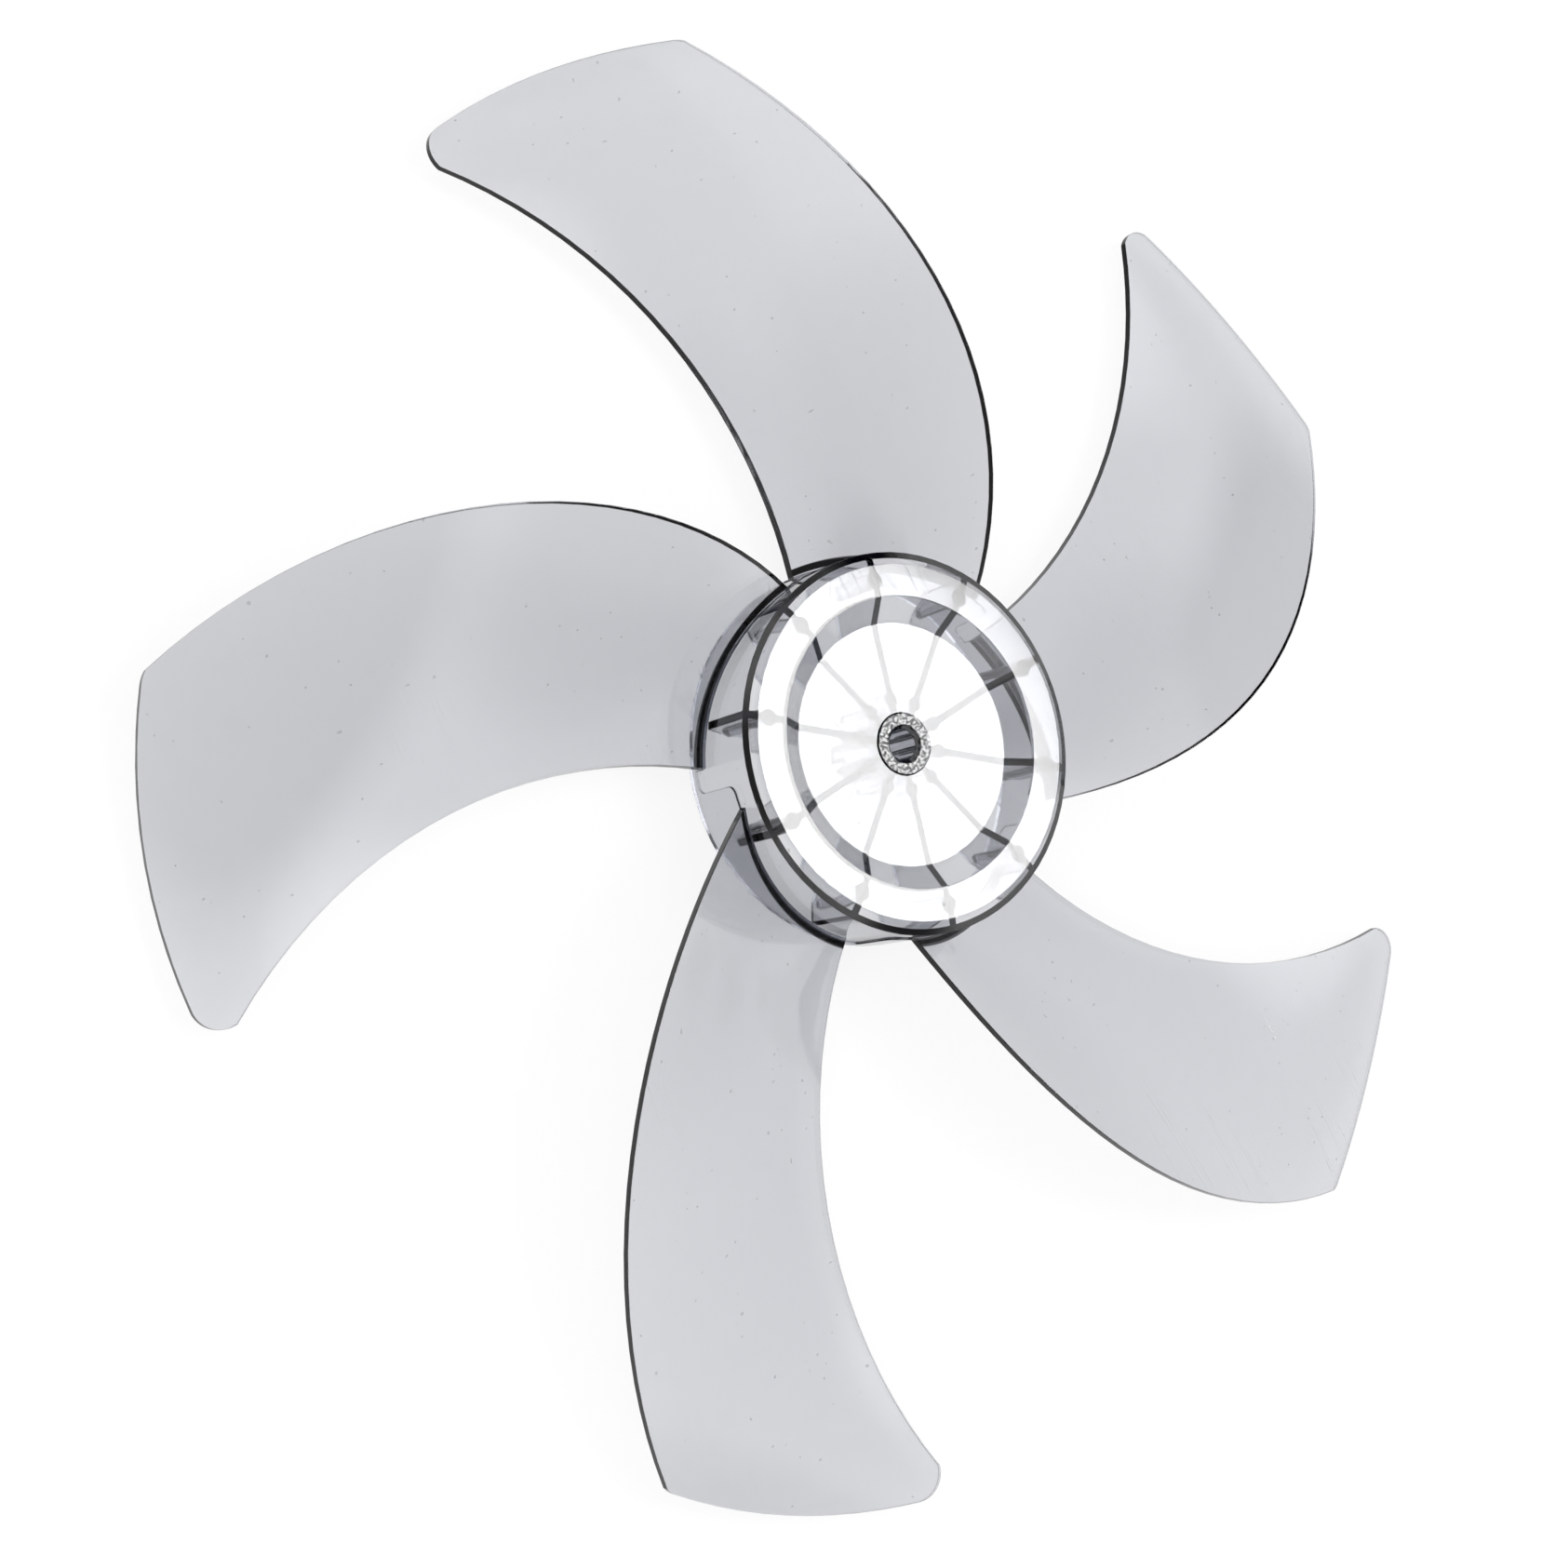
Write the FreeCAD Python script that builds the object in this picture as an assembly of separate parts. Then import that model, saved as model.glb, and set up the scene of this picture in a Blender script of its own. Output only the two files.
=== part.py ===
import FreeCAD, Part
import math
import os
from FreeCAD import Vector

# Five-bladed fan impeller, moulded in one piece from clear plastic.
# Millimetres. The shaft axis is Z, the air leaves towards +Z, and the open rear rim of the hub
# lies on Z = 0. Seen from the front it turns counter-clockwise, towards growing angles.

# Whole impeller
BLADE_COUNT = 5
SWEPT_DIAMETER = 402.0

# Hub cup, from its front ring to its open rear rim
HUB_DEPTH = 30.0
FRONT_WALL_DIAMETER = 103.2  # in front of the parting line
PARTING_STEP = 0.5  # how far the wall behind the parting line stands proud of it
CREASE_DROP = 1.8  # from the front ring back to the crease between shoulder and wall
RING_OUTER_DIAMETER = 96.0
RING_INNER_DIAMETER = 78.8
DISC_DIAMETER = 65.8
DISC_SINK = 5.0  # from the front ring back to the sunk disc
WALL = 2.0

# Boss for the motor shaft
BOSS_DIAMETER = 16.8
BOSS_PROUD = 0.4  # in front of the sunk disc
BORE_DIAMETER = 8.2
BORE_CHAMFER = 1.2
FLUTE_COUNT = 8
FLUTE_WIDTH = 0.6
FLUTE_DEPTH = 0.35
PIN_SLOT_WIDTH = 3.2
PIN_SLOT_DEPTH = 5.0

# Ribs inside the hub, with a round pad near each end of every rib
RIB_COUNT = 10
RIB_THICKNESS = 2.0
RIB_REAR_GAP = 6.0  # from the rear rim to the ribs
RIB_END_RISE = 3.5  # how much further from the rim the ribs meet the wall
OUTER_PAD_CIRCLE = 88.0
OUTER_PAD_DIAMETER = 4.6
INNER_PAD_CIRCLE = 24.6
INNER_PAD_DIAMETER = 4.0
PAD_REAR_GAP = 10.0  # from the rear rim to the pads

# Blade outline seen along the shaft: two circular edges, and a circular tip that touches the
# swept circle. The angles are those of the edges on the hub wall and on the swept circle.
LEADING_ROOT_ANGLE = 84.7
LEADING_TIP_ANGLE = 101.9
LEADING_EDGE_RADIUS = 133.0
TRAILING_ROOT_ANGLE = 26.2
TRAILING_TIP_ANGLE = 75.0
TRAILING_EDGE_RADIUS = 146.0
TIP_EDGE_RADIUS = 163.0
TIP_TOUCH_ANGLE = 83.0
LEADING_CORNER = 7.0
TRAILING_CORNER = 9.0

# Blade form: heights of the middle surface above the rear rim, bow of its sections, thickness
LEADING_ROOT_HEIGHT = 6.5
LEADING_TIP_HEIGHT = 6.2
TRAILING_ROOT_HEIGHT = 21.2
TRAILING_ROOT_RISE = 26.0  # degrees
TRAILING_TIP_HEIGHT = 10.5
TRAILING_TIP_FALL = 20.5  # degrees
ROOT_BOW = 1.5
TIP_BOW = 3.6
ROOT_THICKNESS = 2.6
TIP_THICKNESS = 1.9
EDGE_DRAFT = 0.15  # how far a blade's front face stops short of its rear face at the edges

# Step of the parting line on the hub wall between two blades
RISER_ANGLE = 19.5
RISER_FOOT = 3.0  # height of the line on the leading side
RISER_CORNER = 2.5

# Working values of the construction
STATIONS = 6  # blade sections in a loft
SECTION_POINTS = 5
EDGE_CLEAR = 0.5  # how far the tip's outline passes outside the blade's edges
REACH = 3.0  # how far cutters and sections reach past what they cut
SAME_PLACE = 0.01  # points closer than this are one corner

# Sizes that follow
TIP_RADIUS = SWEPT_DIAMETER / 2
HUB_RADIUS = FRONT_WALL_DIAMETER / 2
RIM_RADIUS = HUB_RADIUS + PARTING_STEP
INNER_WALL_RADIUS = HUB_RADIUS - WALL
ROOT_RADIUS = HUB_RADIUS - WALL / 2
CREASE_HEIGHT = HUB_DEPTH - CREASE_DROP
DISC_HEIGHT = HUB_DEPTH - DISC_SINK
BOSS_RADIUS = BOSS_DIAMETER / 2
BOSS_LENGTH = DISC_HEIGHT + BOSS_PROUD
BORE_RADIUS = BORE_DIAMETER / 2
BLADE_PITCH = 360.0 / BLADE_COUNT
CONE_ANGLE = math.atan2(DISC_SINK, (RING_INNER_DIAMETER - DISC_DIAMETER) / 2)
CONE_SHIFT = WALL * math.tan(CONE_ANGLE / 2)  # corner shift that keeps the cone's wall even


def polar(radius, degrees, height=0.0):
    angle = math.radians(degrees)
    return Vector(radius * math.cos(angle), radius * math.sin(angle), height)


def turned(shape, degrees):
    copy = shape.copy()
    copy.rotate(Vector(0, 0, 0), Vector(0, 0, 1), degrees)
    return copy


def ring_of(shape, count):
    return [turned(shape, 360.0 / count * i) for i in range(count)]


def edge_centre(root_angle, tip_angle, radius):
    """Centre of the edge arc from the hub wall to the swept circle, on its hollow side."""
    root = polar(HUB_RADIUS, root_angle)
    tip = polar(TIP_RADIUS, tip_angle)
    half = (tip - root) * 0.5
    side = Vector(-half.y, half.x, 0).normalize()
    return root + half + side * math.sqrt(radius ** 2 - half.Length ** 2)


LEADING_CENTRE = edge_centre(LEADING_ROOT_ANGLE, LEADING_TIP_ANGLE, LEADING_EDGE_RADIUS)
TRAILING_CENTRE = edge_centre(TRAILING_ROOT_ANGLE, TRAILING_TIP_ANGLE, TRAILING_EDGE_RADIUS)


def edge_angle(radius, centre, edge_radius):
    """Angle at which an edge arc crosses the circle of this radius about the shaft."""
    distance = centre.Length
    cosine = (radius ** 2 + distance ** 2 - edge_radius ** 2) / (2 * radius * distance)
    return math.degrees(math.atan2(centre.y, centre.x) - math.acos(cosine))


def leading_angle(radius, clear=0.0):
    return edge_angle(radius, LEADING_CENTRE, LEADING_EDGE_RADIUS - clear)


def trailing_angle(radius, clear=0.0):
    return edge_angle(radius, TRAILING_CENTRE, TRAILING_EDGE_RADIUS + clear)


def span_share(radius):
    return (radius - HUB_RADIUS) / (TIP_RADIUS - HUB_RADIUS)


def between(root, tip, radius):
    return root + (tip - root) * span_share(radius)


def trailing_height(radius):
    """Cubic along the span with the set heights and slopes at the root and the tip."""
    span = TIP_RADIUS - HUB_RADIUS
    s = span_share(radius)
    rise = span * math.tan(math.radians(TRAILING_ROOT_RISE))
    fall = span * math.tan(math.radians(TRAILING_TIP_FALL))
    root = TRAILING_ROOT_HEIGHT * (1 + 2 * s) + rise * s
    tip = TRAILING_TIP_HEIGHT * (3 - 2 * s) + fall * (1 - s)
    return root * (1 - s) ** 2 + tip * s ** 2


def middle_height(radius, chord):
    """Middle surface of the blade; chord runs from 0 at the leading to 1 at the trailing edge."""
    low = between(LEADING_ROOT_HEIGHT, LEADING_TIP_HEIGHT, radius)
    bow = between(ROOT_BOW, TIP_BOW, radius)
    return low + (trailing_height(radius) - low) * chord - 4 * bow * chord * (1 - chord)


def on_section(radius, chord, offset):
    """Point of a blade section, at a height above or below the middle surface."""
    start = leading_angle(radius)
    angle = start + (trailing_angle(radius) - start) * chord
    return polar(radius, angle, middle_height(radius, chord) + offset)


def curve(points):
    """Smooth curve through the points, with the same parameters in every section."""
    spline = Part.BSplineCurve()
    spline.interpolate(Points=points, Parameters=steps(0.0, 1.0, len(points)))
    return spline


def steps(first, last, count):
    return [first + (last - first) * i / (count - 1) for i in range(count)]


def section(radius):
    """Closed blade section on a cylinder about the shaft, with edges that slope as the mould parts."""
    half = between(ROOT_THICKNESS, TIP_THICKNESS, radius) / 2
    length = radius * math.radians(leading_angle(radius) - trailing_angle(radius))
    inset = EDGE_DRAFT / length
    front = [on_section(radius, c, half) for c in steps(inset, 1 - inset, SECTION_POINTS)]
    rear = [on_section(radius, c, -half) for c in steps(0, 1, SECTION_POINTS)]
    return closed_wire(front, rear)


def closed_wire(first, second):
    """Two smooth curves that run the same way, joined at their ends by straight lines."""
    lines = [
        curve(first),
        Part.LineSegment(first[-1], second[-1]),
        curve(second[::-1]),
        Part.LineSegment(second[0], first[0]),
    ]
    return Part.Wire([line.toShape() for line in lines])


def loft(wires, ruled=False):
    """Solid through closed wires that need not be flat, with filled ends."""
    sides = Part.makeLoft(wires, False, ruled).Faces
    ends = [Part.makeFilledFace(wire.Edges) for wire in (wires[0], wires[-1])]
    return Part.makeSolid(Part.makeShell(sides + ends))


def outline_prism():
    """Tall prism that ends the blade at its tip, with rounded corners, and in the hub wall."""
    tip_centre = polar(TIP_RADIUS - TIP_EDGE_RADIUS, TIP_TOUCH_ANGLE)
    leading_tip = circles_meet(LEADING_CENTRE, LEADING_EDGE_RADIUS - EDGE_CLEAR, tip_centre)
    trailing_tip = circles_meet(TRAILING_CENTRE, TRAILING_EDGE_RADIUS + EDGE_CLEAR, tip_centre)
    corners = [
        polar(ROOT_RADIUS, leading_angle(ROOT_RADIUS, EDGE_CLEAR)),
        leading_tip,
        trailing_tip,
        polar(ROOT_RADIUS, trailing_angle(ROOT_RADIUS, EDGE_CLEAR)),
    ]
    middle = (HUB_RADIUS + TIP_RADIUS) / 2
    through = [
        polar(middle, leading_angle(middle, EDGE_CLEAR)),
        polar(TIP_RADIUS, TIP_TOUCH_ANGLE),
        polar(middle, trailing_angle(middle, EDGE_CLEAR)),
        polar(ROOT_RADIUS, (LEADING_ROOT_ANGLE + TRAILING_ROOT_ANGLE) / 2),
    ]
    arcs = [Part.Arc(corners[i], through[i], corners[(i + 1) % 4]).toShape() for i in range(4)]
    prism = Part.Face(Part.Wire(arcs)).extrude(Vector(0, 0, 2 * HUB_DEPTH))
    prism.translate(Vector(0, 0, -HUB_DEPTH / 2))
    for corner, radius in ((leading_tip, LEADING_CORNER), (trailing_tip, TRAILING_CORNER)):
        prism = prism.makeFillet(radius, upright_edges(prism, corner))
    return prism


def circles_meet(edge_middle, edge_radius, tip_middle):
    """Outermost point where an edge's circle crosses the tip's."""
    apart = tip_middle - edge_middle
    along = (apart.Length ** 2 + edge_radius ** 2 - TIP_EDGE_RADIUS ** 2) / (2 * apart.Length)
    across = math.sqrt(edge_radius ** 2 - along ** 2)
    ahead = Vector(apart).normalize()
    side = Vector(-ahead.y, ahead.x, 0)
    points = [edge_middle + ahead * along + side * across * sign for sign in (1, -1)]
    return max(points, key=lambda point: point.Length)


def upright_edges(solid, point):
    """Edges parallel to the shaft that stand on a point of the outline."""
    found = []
    for edge in solid.Edges:
        ends = [v.Point for v in edge.Vertexes]
        if all(math.hypot(p.x - point.x, p.y - point.y) < SAME_PLACE for p in ends):
            found.append(edge)
    return found


def blade():
    """One blade: a plate lofted through sections, ended by the outline."""
    radii = steps(ROOT_RADIUS - REACH, TIP_RADIUS + REACH, STATIONS)
    return loft([section(r) for r in radii]).common(outline_prism())


def hub_cup():
    """Hub wall, front ring, cone, sunk disc and boss, turned from one closed section."""
    under_ring = HUB_DEPTH - WALL
    under_disc = DISC_HEIGHT - WALL
    path = [
        (RING_OUTER_DIAMETER / 2, HUB_DEPTH),
        (RING_INNER_DIAMETER / 2, HUB_DEPTH),
        (DISC_DIAMETER / 2, DISC_HEIGHT),
        (BOSS_RADIUS, DISC_HEIGHT),
        (BOSS_RADIUS, BOSS_LENGTH),
        (BORE_RADIUS + BORE_CHAMFER, BOSS_LENGTH),
        (BORE_RADIUS, BOSS_LENGTH - BORE_CHAMFER),
        (BORE_RADIUS, 0),
        (BOSS_RADIUS, 0),
        (BOSS_RADIUS, under_disc),
        (DISC_DIAMETER / 2 + CONE_SHIFT, under_disc),
        (RING_INNER_DIAMETER / 2 + CONE_SHIFT, under_ring),
        (INNER_WALL_RADIUS, under_ring),
        (INNER_WALL_RADIUS, 0),
        (HUB_RADIUS, 0),
        (HUB_RADIUS, CREASE_HEIGHT),
    ]
    points = [Vector(x, 0, z) for x, z in path]
    face = Part.Face(Part.makePolygon(points + points[:1]))
    return face.revolve(Vector(0, 0, 0), Vector(0, 0, 1), 360)


def rear_wall():
    """The wall behind the parting line, which follows the blade roots and steps between them."""
    ring = Part.makeCylinder(RIM_RADIUS, CREASE_HEIGHT)
    ring = ring.cut(Part.makeCylinder(ROOT_RADIUS, CREASE_HEIGHT))
    regions = ring_of(behind_blade().fuse(riser_prism()), BLADE_COUNT)
    return ring.common(regions[0].multiFuse(regions[1:]))


def behind_blade():
    """The space between a blade's root and the rear rim."""
    wires = []
    for radius in (ROOT_RADIUS - REACH, RIM_RADIUS + REACH):
        top = [on_section(radius, c, 0) for c in steps(0, 1, SECTION_POINTS)]
        foot = [Vector(p.x, p.y, -REACH) for p in top]
        wires.append(closed_wire(top, foot))
    return loft(wires, ruled=True)


def riser_prism():
    """Where the parting line climbs from one blade's leading root to the next one's trailing root."""
    left = -RIM_RADIUS * math.radians(BLADE_PITCH + RISER_ANGLE - LEADING_ROOT_ANGLE)
    right = RIM_RADIUS * math.radians(TRAILING_ROOT_ANGLE - RISER_ANGLE)
    top = TRAILING_ROOT_HEIGHT - ROOT_THICKNESS / 4
    outline = [
        (left - RISER_CORNER, -REACH),
        (left - RISER_CORNER, RISER_FOOT),
        (0, RISER_FOOT),
        (0, top),
        (right + RISER_CORNER, top),
        (right + RISER_CORNER, -REACH),
    ]
    points = [Vector(ROOT_RADIUS - REACH, y, z) for y, z in outline]
    face = Part.Face(Part.makePolygon(points + points[:1]))
    prism = face.extrude(Vector(WALL + PARTING_STEP + 2 * REACH, 0, 0))
    corners = [e for e in prism.Edges if along_x(e, 0, RISER_FOOT) or along_x(e, 0, top)]
    return turned(prism.makeFillet(RISER_CORNER, corners), RISER_ANGLE)


def along_x(edge, y, z):
    return all(math.hypot(v.Y - y, v.Z - z) < SAME_PLACE for v in edge.Vertexes)


def rib():
    """One rib from the boss to the wall, under the stepped front, with its two pads."""
    under_disc = DISC_HEIGHT - WALL / 2
    under_ring = HUB_DEPTH - WALL / 2
    shift = CONE_SHIFT / 2
    outline = [
        (BOSS_RADIUS - RIB_THICKNESS, RIB_REAR_GAP),
        (OUTER_PAD_CIRCLE / 2, RIB_REAR_GAP),
        (ROOT_RADIUS, RIB_REAR_GAP + RIB_END_RISE),
        (ROOT_RADIUS, CREASE_HEIGHT - WALL / 2),
        (INNER_WALL_RADIUS, under_ring - WALL / 4),
        (RING_OUTER_DIAMETER / 2, under_ring),
        (RING_INNER_DIAMETER / 2 + shift, under_ring),
        (DISC_DIAMETER / 2 + shift, under_disc),
        (BOSS_RADIUS - RIB_THICKNESS, under_disc),
    ]
    points = [Vector(x, -RIB_THICKNESS / 2, z) for x, z in outline]
    plate = Part.Face(Part.makePolygon(points + points[:1])).extrude(Vector(0, RIB_THICKNESS, 0))
    outer = pad(OUTER_PAD_CIRCLE, OUTER_PAD_DIAMETER, under_ring)
    inner = pad(INNER_PAD_CIRCLE, INNER_PAD_DIAMETER, under_disc)
    return plate.multiFuse([outer, inner])


def pad(circle, diameter, top):
    place = Vector(circle / 2, 0, PAD_REAR_GAP)
    return Part.makeCylinder(diameter / 2, top - PAD_REAR_GAP, place)


def bore_flute():
    """One shallow groove along the wall of the bore."""
    depth = FLUTE_DEPTH + BORE_RADIUS / 2
    place = Vector(BORE_RADIUS / 2, -FLUTE_WIDTH / 2, -REACH)
    return Part.makeBox(depth, FLUTE_WIDTH, BOSS_LENGTH - BORE_CHAMFER + REACH, place)


def pin_slot():
    """Slot across the rear end of the boss, for the cross pin of the motor shaft."""
    length = BOSS_DIAMETER + 2 * REACH
    place = Vector(-length / 2, -PIN_SLOT_WIDTH / 2, -REACH)
    return Part.makeBox(length, PIN_SLOT_WIDTH, PIN_SLOT_DEPTH + REACH, place)


def impeller():
    hub = hub_cup().multiFuse([rear_wall()] + ring_of(rib(), RIB_COUNT))
    body = hub.multiFuse(ring_of(blade(), BLADE_COUNT))
    return body.cut(ring_of(bore_flute(), FLUTE_COUNT) + [pin_slot()])


os.makedirs("parts", exist_ok=True)
impeller().exportStep("parts/fan_blade.step")
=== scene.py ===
import math
import bpy
from mathutils import Matrix, Vector

# Five-bladed fan impeller of smoke-grey clear plastic, lying on its hub rim on a white table.
# Metres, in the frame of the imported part: the shaft axis is Z and the rear rim lies on Z = 0.

WHITE = (1.0, 1.0, 1.0, 1.0)

# Camera, as the photograph was taken
CAMERA_PLACE = Vector((-0.35424, 0.09634, 0.54994))
CAMERA_FORWARD = Vector((0.50986, -0.14175, -0.84850))
CAMERA_UP = Vector((0.46979, 0.87215, 0.13660))
CAMERA_LENS = 55.0  # mm
CAMERA_SENSOR = 36.0  # mm, each side of the square picture

# White table
FLOOR_SIZE = 6.0
FLOOR_DROP = 0.0003  # gap between the table and the rim
FLOOR_COLOUR = (0.92, 0.92, 0.92, 1.0)
FLOOR_GLOW = 0.85  # share of plain white in the table as it is seen

# Room that the plastic mirrors: a brightness at the horizon, one overhead, and round patches with
# soft edges that change it. A patch has its place in degrees away from straight up, towards +X and
# towards +Y, the radius of its even middle, the radius where it ends, and its change of brightness.
HORIZON_LIGHT = 1.0
OVERHEAD_LIGHT = 1.5
OVERHEAD_FROM = 0.1  # upward part of a direction at which the room starts to brighten
OVERHEAD_FULL = 0.4
SOFTBOX = (31.5, -9.6, 4.4, 7.5, 12.5)  # a patch that isn't seen through the plastic
ROOM_PATCHES = {
    "softbox_glow": (33.0, -9.0, 8.0, 20.0, 1.2),
    "dark_left": (-1.0, -19.0, 5.0, 21.0, -2.4),
    "dark_left_low": (10.0, -49.0, 5.0, 18.0, -1.3),
    "dark_far_left": (-22.0, 10.0, 6.0, 27.0, -1.2),
    "dark_right": (51.0, 26.0, 5.0, 18.0, -2.2),
    "dark_top": (30.0, 37.0, 3.0, 17.0, -1.0),
}

# Plastic
PLASTIC_IOR = 1.57
SMOKE_COLOUR = (0.50, 0.512, 0.562, 1.0)
SMOKE_DENSITY = 395.0
SHADOW_TINT = (0.72, 0.725, 0.74, 1.0)  # light that each surface lets through to the table
EDGE_ROUND = 0.00035  # radius of the corners' soft shine
EDGE_SAMPLES = 3
ROOT_BAND = (0.0522, 0.0541)  # radii of the ring of painted shade, black, where the thick roots of the blades join the hub wall
ROOT_FADE = 0.0003
ROOT_PAINTED_SHADE = 0.98  # share of the light that the painted shade at the roots takes away
EDGE_PAINTED_SHADE = 0.9  # share of the light that the painted shade on the upright edges of the blades takes away
EDGE_SLOPE = (0.35, 0.6)  # upward parts of the normals of an edge and of a face
BOSS_PAINTED_OUTLINE = (0.0082, 0.0086)  # radii of the painted shade, a dark line around the face of the boss
BOSS_HEIGHT = 0.0249  # above which the boss stands proud of the disc
BOSS_DARK = (0.1, 0.75)  # shares that the grain on the face of the boss keeps back

# Fine detail of the plastic, from soft random clouds. Counts are in a metre, heights in metres, and
# levels are the values of the clouds between which the detail fades in.
BOSS_GRAINS = 1100.0
GRAIN_LEVELS = (0.35, 0.65)
GLOSS_CLOUDS = 45.0
GLOSS_LEVELS = (0.3, 0.7)
GLOSS_ROUGHNESS = (0.045, 0.07)  # in the clearest and in the dullest clouds
WAVES = 16.0
WAVE_HEIGHT = 0.00006
SCRATCH_WIDTHS = 1300.0
SCRATCH_LENGTHS = 30.0
SCRATCH_TURN = 0.6  # direction of the scratches, in radians
SCRATCH_LEVELS = (0.66, 0.72)
SCRATCHED_WAVES = (0.55, 0.62)  # levels of the waves on which the scratches lie
SCRATCH_HEIGHT = 0.000008
SPECKS = 600.0
SPECK_LEVELS = (0.84, 0.88)
SPECK_DARK = 0.4  # share of the light that a speck keeps back


# Helpers for node trees

def nodes_of(owner):
    """Emptied node tree of a material or world."""
    owner.use_nodes = True
    owner.node_tree.nodes.clear()
    return owner.node_tree


def add_node(tree, kind, **values):
    """New node; values for its input sockets are given by name, with _ for a space."""
    node = tree.nodes.new(kind)
    for name, value in values.items():
        node.inputs[name.replace("_", " ")].default_value = value
    return node


def combined(tree, operation, first, second):
    """Socket with two sockets, or a socket and a number, joined by a Math operation."""
    node = add_node(tree, "ShaderNodeMath")
    node.operation = operation
    for place, value in enumerate((first, second)):
        if isinstance(value, float):
            node.inputs[place].default_value = value
        else:
            tree.links.new(value, node.inputs[place])
    return node.outputs[0]


def faded(tree, socket, low, high, bottom, top):
    """Socket that goes smoothly from bottom to top while another goes from low to high."""
    ramp = add_node(tree, "ShaderNodeMapRange", From_Min=low, From_Max=high, To_Min=bottom, To_Max=top)
    ramp.interpolation_type = "SMOOTHSTEP"
    tree.links.new(socket, ramp.inputs["Value"])
    return ramp.outputs["Result"]


def upward_part(tree, vector):
    """Socket with the Z of a vector."""
    parts = add_node(tree, "ShaderNodeSeparateXYZ")
    tree.links.new(vector, parts.inputs[0])
    return parts.outputs["Z"]


def noise(tree, place, scale):
    """Socket with soft random clouds from 0 to 1."""
    clouds = add_node(tree, "ShaderNodeTexNoise", Scale=scale, Detail=0.0)
    tree.links.new(place, clouds.inputs["Vector"])
    return clouds.outputs["Fac"]


def rays(tree, kind):
    """Socket that is 1 for rays of a kind."""
    return add_node(tree, "ShaderNodeLightPath").outputs["Is %s Ray" % kind]


def mixed(tree, share, first, second):
    """Socket with two shader nodes mixed, by the share of the second."""
    mix = add_node(tree, "ShaderNodeMixShader")
    tree.links.new(share, mix.inputs["Fac"])
    tree.links.new(first.outputs[0], mix.inputs[1])
    tree.links.new(second.outputs[0], mix.inputs[2])
    return mix.outputs[0]


# Plastic

def scratches(tree, place, waves):
    """Socket that is high in a few fine scratches, which lie on the tops of the waves."""
    stretch = (SCRATCH_WIDTHS, SCRATCH_LENGTHS, SCRATCH_LENGTHS)
    mapping = add_node(tree, "ShaderNodeMapping", Rotation=(0, 0, SCRATCH_TURN), Scale=stretch)
    tree.links.new(place, mapping.inputs["Vector"])
    streaks = faded(tree, noise(tree, mapping.outputs[0], 1.0), *SCRATCH_LEVELS, 0.0, 1.0)
    return combined(tree, "MULTIPLY", streaks, faded(tree, waves, *SCRATCHED_WAVES, 0.0, 1.0))


def plastic_surface(tree, place):
    """Normal of the moulded surface: rounded corners, slight waves and fine scratches."""
    rounding = add_node(tree, "ShaderNodeBevel", Radius=EDGE_ROUND)
    rounding.samples = EDGE_SAMPLES
    waves = noise(tree, place, WAVES)
    height = combined(tree, "MULTIPLY", waves, WAVE_HEIGHT)
    lines = combined(tree, "MULTIPLY", scratches(tree, place, waves), SCRATCH_HEIGHT)
    bump = add_node(tree, "ShaderNodeBump", Distance=1.0)
    tree.links.new(combined(tree, "ADD", height, lines), bump.inputs["Height"])
    tree.links.new(rounding.outputs["Normal"], bump.inputs["Normal"])
    return bump.outputs["Normal"]


def specks(tree, place):
    """Socket that is high in the few tiny specks in the plastic."""
    return faded(tree, noise(tree, place, SPECKS), *SPECK_LEVELS, 0.0, SPECK_DARK)


def axis_distance(tree, place):
    """Socket with the distance from the shaft axis."""
    flat = add_node(tree, "ShaderNodeVectorMath")
    flat.operation = "MULTIPLY"
    flat.inputs[1].default_value = (1, 1, 0)
    tree.links.new(place, flat.inputs[0])
    out = add_node(tree, "ShaderNodeVectorMath")
    out.operation = "LENGTH"
    tree.links.new(flat.outputs[0], out.inputs[0])
    return out.outputs["Value"]


def painted_root_shade(tree, radius):
    """Painted shade: socket that is high in the ring where the blades join the hub wall."""
    start = faded(tree, radius, ROOT_BAND[0], ROOT_BAND[0] + ROOT_FADE, 0.0, ROOT_PAINTED_SHADE)
    end = faded(tree, radius, ROOT_BAND[1], ROOT_BAND[1] + ROOT_FADE, 1.0, 0.0)
    return combined(tree, "MULTIPLY", start, end)


def boss_face(tree, place, radius):
    """Socket with the grain on the face of the boss, and painted shade as a dark line around that face.
    """
    grain = faded(tree, noise(tree, place, BOSS_GRAINS), *GRAIN_LEVELS, *BOSS_DARK)
    painted_outline = combined(tree, "GREATER_THAN", radius, BOSS_PAINTED_OUTLINE[0])
    proud = combined(tree, "GREATER_THAN", upward_part(tree, place), BOSS_HEIGHT)
    where = combined(tree, "MULTIPLY", proud, combined(tree, "LESS_THAN", radius, BOSS_PAINTED_OUTLINE[1]))
    return combined(tree, "MULTIPLY", combined(tree, "MAXIMUM", grain, painted_outline), where)


def painted_edge_shade(tree, radius):
    """Painted shade: socket that is high on the upright edges of the blades, outside the ring at the
    roots.
    """
    normal = add_node(tree, "ShaderNodeNewGeometry").outputs["True Normal"]
    upward = combined(tree, "POWER", upward_part(tree, normal), 2.0)
    low, high = (slope ** 2 for slope in EDGE_SLOPE)
    upright = faded(tree, upward, low, high, EDGE_PAINTED_SHADE, 0.0)
    return combined(tree, "MULTIPLY", upright, combined(tree, "GREATER_THAN", radius, ROOT_BAND[1]))


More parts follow.
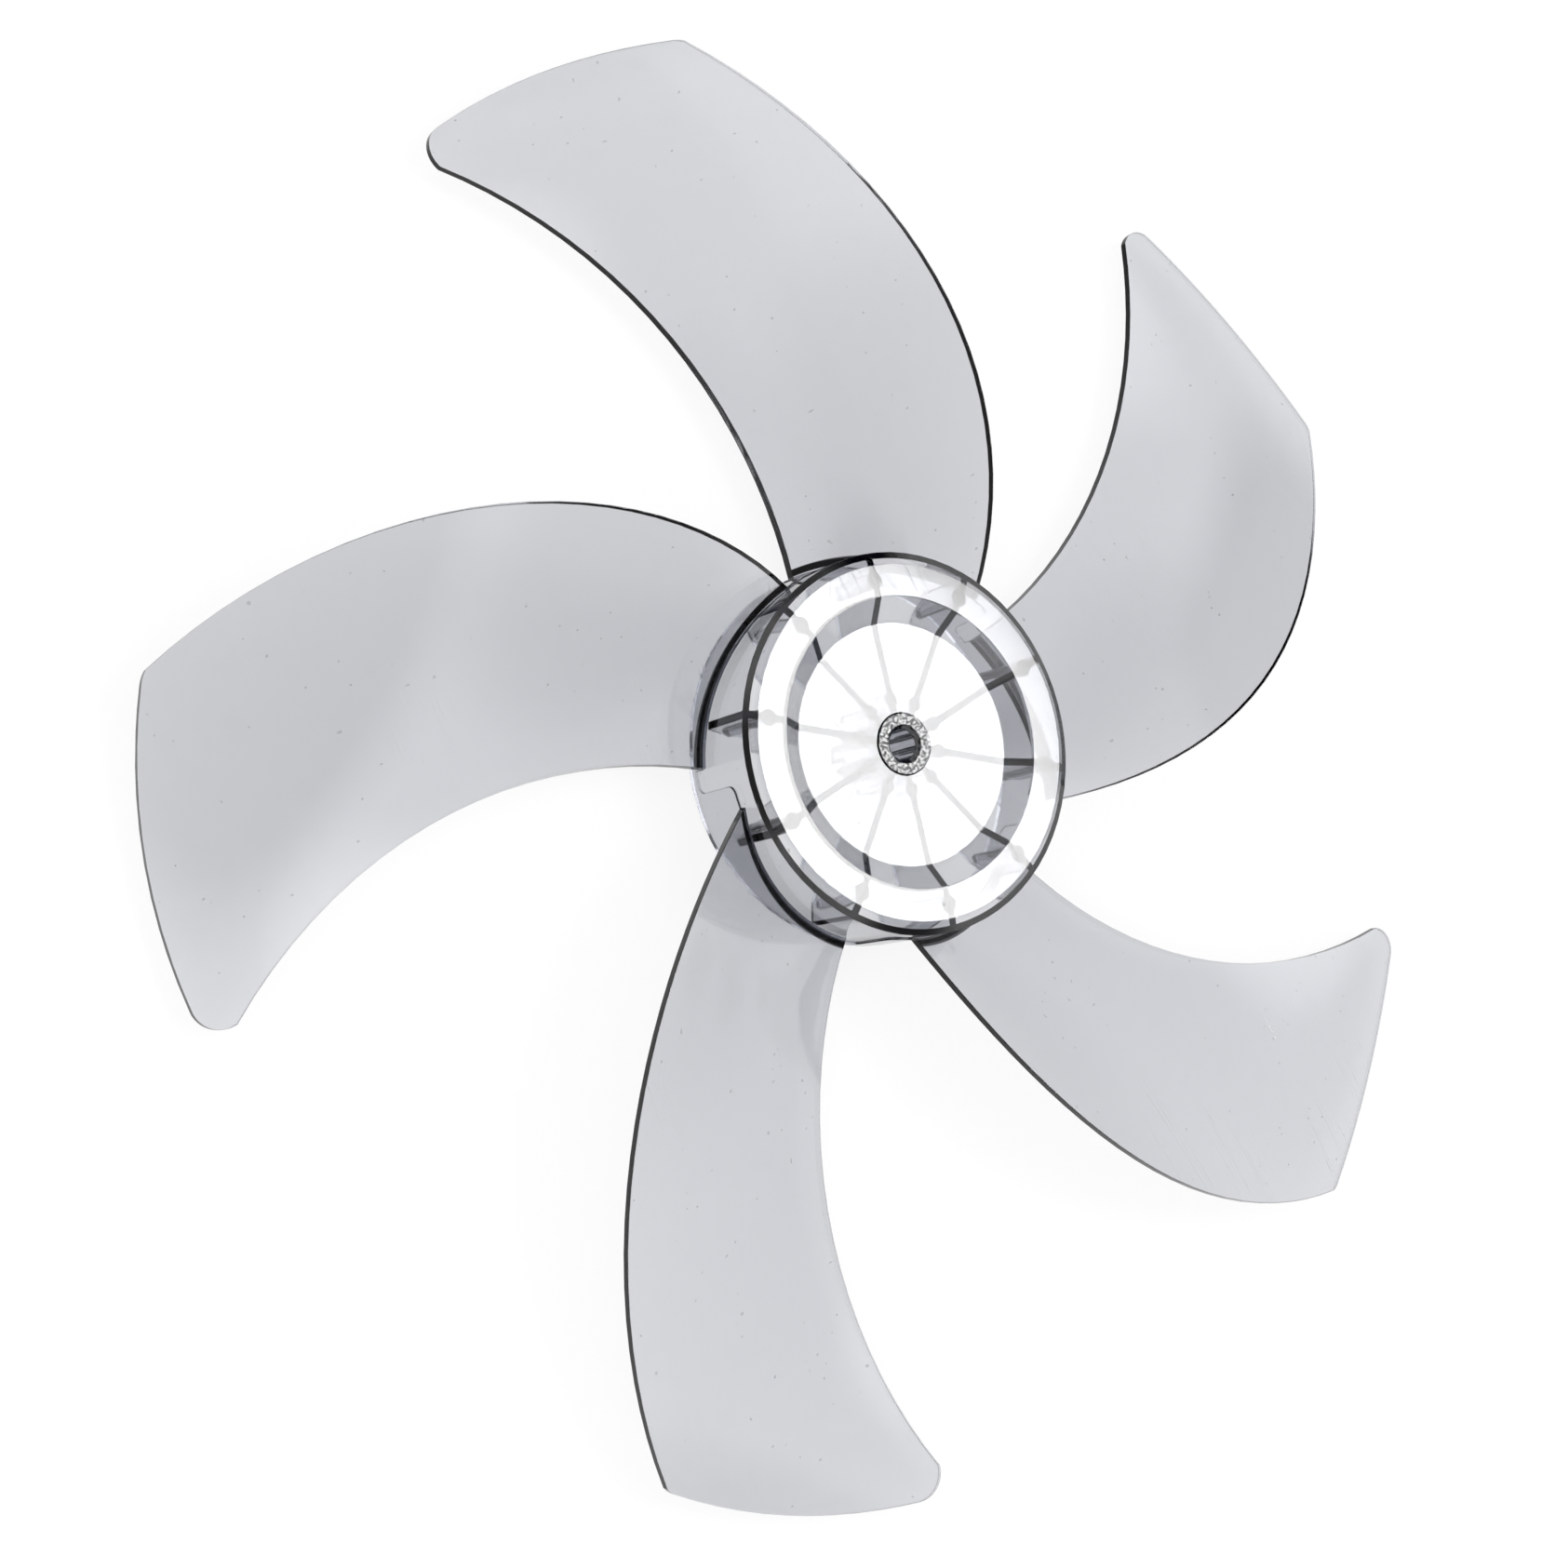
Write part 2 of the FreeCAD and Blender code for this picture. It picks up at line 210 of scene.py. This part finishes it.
def plastic_tint(tree, place):
    """Colour that takes light away in specks and in the grain of the boss, and paints shade on the rim
    of the boss and at the roots and edges of the blades.
    """
    radius = axis_distance(tree, place)
    dark = specks(tree, place)
    # Painted shade at the roots, on the upright edges and around the face of the boss; specks and grain
    # are the plastic's own.
    for other in (painted_root_shade(tree, radius), painted_edge_shade(tree, radius), boss_face(tree, place, radius)):
        dark = combined(tree, "MAXIMUM", dark, other)
    light = combined(tree, "SUBTRACT", 1.0, dark)
    colour = add_node(tree, "ShaderNodeCombineColor")
    for channel in colour.inputs:
        tree.links.new(light, channel)
    return colour.outputs[0]


def plastic_glass(tree):
    """Shader node of the plastic's surface."""
    glass = add_node(tree, "ShaderNodeBsdfPrincipled", IOR=PLASTIC_IOR, Transmission_Weight=1.0)
    place = add_node(tree, "ShaderNodeTexCoord").outputs["Object"]
    gloss = faded(tree, noise(tree, place, GLOSS_CLOUDS), *GLOSS_LEVELS, *GLOSS_ROUGHNESS)
    tree.links.new(gloss, glass.inputs["Roughness"])
    tint = plastic_tint(tree, place)
    tree.links.new(tint, glass.inputs["Base Color"])
    tree.links.new(tint, glass.inputs["Specular Tint"])
    tree.links.new(plastic_surface(tree, place), glass.inputs["Normal"])
    return glass


def plastic_material():
    """Smoke-grey clear plastic: glass that darkens with depth and casts a pale shadow."""
    material = bpy.data.materials.new("smoke_plastic_clear")
    tree = nodes_of(material)
    clear = add_node(tree, "ShaderNodeBsdfTransparent", Color=SHADOW_TINT)
    surface = mixed(tree, rays(tree, "Shadow"), plastic_glass(tree), clear)
    smoke = add_node(tree, "ShaderNodeVolumeAbsorption", Color=SMOKE_COLOUR, Density=SMOKE_DENSITY)
    output = add_node(tree, "ShaderNodeOutputMaterial")
    tree.links.new(surface, output.inputs["Surface"])
    tree.links.new(smoke.outputs[0], output.inputs["Volume"])
    return material


# Table

def seen_rays(tree):
    """Socket that is 1 for rays that show the background: camera, glossy and transmitted ones."""
    mirrored_or_through = combined(tree, "MAXIMUM", rays(tree, "Glossy"), rays(tree, "Transmission"))
    return combined(tree, "MAXIMUM", rays(tree, "Camera"), mirrored_or_through)


def floor_material():
    """White that keeps a part of the shadows."""
    material = bpy.data.materials.new("white_table")
    tree = nodes_of(material)
    lit = add_node(tree, "ShaderNodeBsdfDiffuse", Color=FLOOR_COLOUR)
    glow = add_node(tree, "ShaderNodeEmission", Color=WHITE, Strength=1.0)
    share = combined(tree, "MULTIPLY", seen_rays(tree), FLOOR_GLOW)
    output = add_node(tree, "ShaderNodeOutputMaterial")
    tree.links.new(mixed(tree, share, lit, glow), output.inputs["Surface"])
    return material


def make_floor():
    """Table top, just under the rim."""
    half = FLOOR_SIZE / 2
    corners = [(-half, -half), (half, -half), (half, half), (-half, half)]
    mesh = bpy.data.meshes.new("floor")
    mesh.from_pydata([(x, y, -FLOOR_DROP) for x, y in corners], [], [(0, 1, 2, 3)])
    mesh.materials.append(floor_material())
    floor = bpy.data.objects.new("floor", mesh)
    bpy.context.scene.collection.objects.link(floor)


# Camera

def looking(place, forward, up):
    """Placement of a camera, which looks along its own -Z."""
    back = -forward.normalized()
    right = up.cross(back).normalized()
    matrix = Matrix((right, back.cross(right), back)).transposed().to_4x4()
    matrix.translation = place
    return matrix


def make_camera():
    """Camera of the photograph."""
    data = bpy.data.cameras.new("photo_camera")
    data.lens = CAMERA_LENS
    data.sensor_width = CAMERA_SENSOR
    camera = bpy.data.objects.new("photo_camera", data)
    camera.matrix_world = looking(CAMERA_PLACE, CAMERA_FORWARD, CAMERA_UP)
    bpy.context.scene.collection.objects.link(camera)
    bpy.context.scene.camera = camera


# Room

def patch_direction(towards_x, towards_y):
    """Unit direction at these angles from straight up."""
    tilt = math.radians(math.hypot(towards_x, towards_y))
    turn = math.atan2(towards_y, towards_x)
    return Vector((math.sin(tilt) * math.cos(turn), math.sin(tilt) * math.sin(turn), math.cos(tilt)))


def room_patch(tree, direction, towards_x, towards_y, middle, end, change):
    """Change of brightness that one soft patch makes in a direction."""
    facing = add_node(tree, "ShaderNodeVectorMath")
    facing.operation = "DOT_PRODUCT"
    facing.inputs[1].default_value = patch_direction(towards_x, towards_y)
    tree.links.new(direction, facing.inputs[0])
    low, high = math.cos(math.radians(end)), math.cos(math.radians(middle))
    return faded(tree, facing.outputs["Value"], low, high, 0.0, change)


def room_light(tree):
    """Brightness of the room by direction."""
    direction = add_node(tree, "ShaderNodeTexCoord").outputs["Generated"]
    upward = upward_part(tree, direction)
    light = faded(tree, upward, OVERHEAD_FROM, OVERHEAD_FULL, HORIZON_LIGHT, OVERHEAD_LIGHT)
    for patch in ROOM_PATCHES.values():
        light = combined(tree, "ADD", light, room_patch(tree, direction, *patch))
    outer = combined(tree, "SUBTRACT", 1.0, rays(tree, "Transmission"))
    softbox = combined(tree, "MULTIPLY", room_patch(tree, direction, *SOFTBOX), outer)
    return combined(tree, "MAXIMUM", combined(tree, "ADD", light, softbox), 0.0)


def make_world():
    """Soft room light, with a plain white background for the camera."""
    world = bpy.data.worlds.new("studio")
    tree = nodes_of(world)
    room = add_node(tree, "ShaderNodeBackground", Color=WHITE)
    tree.links.new(room_light(tree), room.inputs["Strength"])
    plain = add_node(tree, "ShaderNodeBackground", Color=WHITE, Strength=1.0)
    output = add_node(tree, "ShaderNodeOutputWorld")
    tree.links.new(mixed(tree, rays(tree, "Camera"), room, plain), output.inputs["Surface"])
    bpy.context.scene.world = world


# Scene

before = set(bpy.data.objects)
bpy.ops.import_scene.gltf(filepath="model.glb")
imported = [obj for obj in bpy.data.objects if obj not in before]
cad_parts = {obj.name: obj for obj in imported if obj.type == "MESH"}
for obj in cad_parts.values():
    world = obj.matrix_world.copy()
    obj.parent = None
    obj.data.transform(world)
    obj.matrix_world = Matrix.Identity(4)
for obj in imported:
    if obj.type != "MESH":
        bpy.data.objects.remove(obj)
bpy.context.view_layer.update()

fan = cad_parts["fan_blade"]
fan.data.materials.clear()
fan.data.materials.append(plastic_material())

make_floor()
make_camera()
make_world()
bpy.context.scene.view_settings.view_transform = "Standard"
